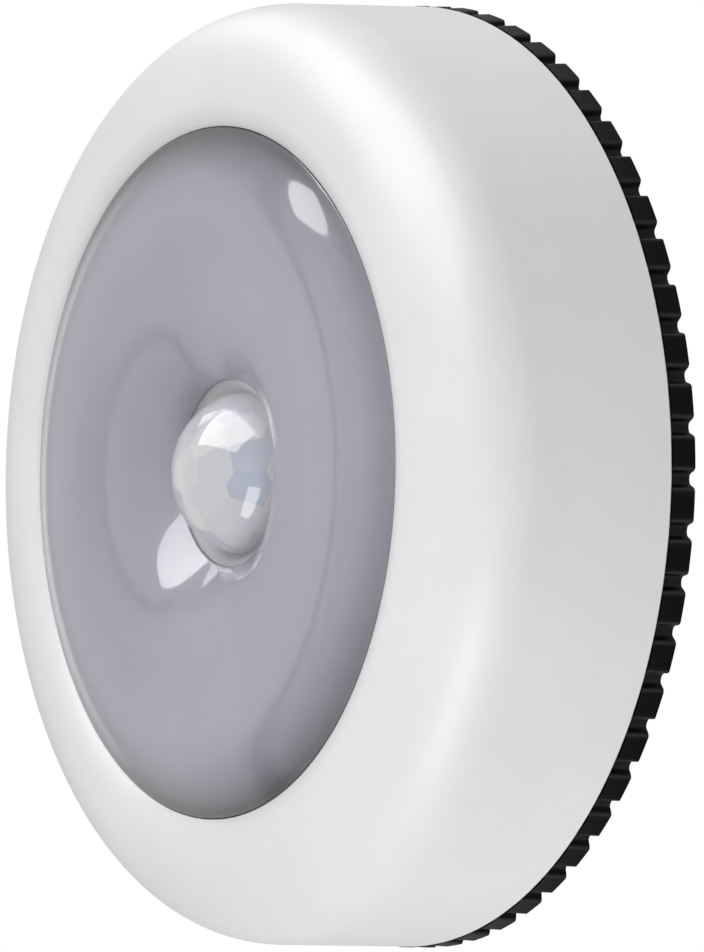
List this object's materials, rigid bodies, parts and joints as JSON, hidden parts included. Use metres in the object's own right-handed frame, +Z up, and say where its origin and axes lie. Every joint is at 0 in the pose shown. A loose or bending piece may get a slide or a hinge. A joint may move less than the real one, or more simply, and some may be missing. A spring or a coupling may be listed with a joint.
{
  "type": "sensor night light",
  "caption": "Round battery wall light with a soft-cornered white bezel, a dished diffuser round a domed motion sensor, and a ribbed black twist-off base.",
  "frame": {"origin": "centre of the adhesive pad's rear face, on the wall", "axes": "+Z up the wall, +Y into the wall, the light looks along -Y, +X to the right seen from the front"},
  "size_m": [0.0854, 0.0251, 0.0854],
  "materials": {
    "black_plastic": "satin black moulded plastic",
    "white_plastic": "satin white moulded plastic",
    "milky_plastic": "smooth glossy translucent plastic, grey-lilac when unlit",
    "lens_plastic": "milky lens plastic with moulded facets",
    "tray_plastic": "plain white moulded plastic",
    "foam": "closed-cell foam with adhesive faces",
    "board_green": "green solder resist",
    "nickel": "nickel plate",
    "cell_jacket": "printed plastic jacket without any print",
    "led_yellow": "yellow phosphor",
    "chip_black": "black epoxy or sleeve",
    "dark_window": "dark infrared window",
    "clear_resin": "clear resin"
  },
  "bodies": {
    "base": {"base": "black_plastic", "adhesive_pad": "foam"},
    "lamp": {"bezel": "white_plastic", "diffuser": "milky_plastic", "sensor_lens": "lens_plastic", "reflector": "white_plastic", "circuit_board": "board_green", "led_1": "led_yellow", "led_2": "led_yellow", "led_3": "led_yellow", "led_4": "led_yellow", "led_5": "led_yellow", "led_6": "led_yellow", "motion_detector": "nickel", "detector_window": "dark_window", "light_sensor": "clear_resin", "capacitor_1": "chip_black", "capacitor_2": "chip_black", "control_chip": "chip_black", "mode_switch": "nickel", "battery_tray": "tray_plastic", "tray_screw_1": "nickel", "tray_screw_2": "nickel", "tray_screw_3": "nickel", "battery_1": "cell_jacket", "battery_2": "cell_jacket", "battery_3": "cell_jacket", "contact_plus": "nickel", "contact_minus": "nickel", "link_bottom": "nickel", "link_top": "nickel", "contact_spring_1": "nickel", "contact_spring_2": "nickel", "contact_spring_3": "nickel"},
    "knob": {"switch_knob": "black_plastic"}
  },
  "joints": [
    {"name": "twist_lock", "type": "hinge", "parent": "base", "child": "lamp", "pos_m": [0, 0, 0], "axis": [0, -1, 0], "range_deg": [0, 25]},
    {"name": "switch_slide", "type": "slide", "parent": "lamp", "child": "knob", "axis": [0, 0, 1], "range_m": [-0.002, 0.002]}
  ]
}
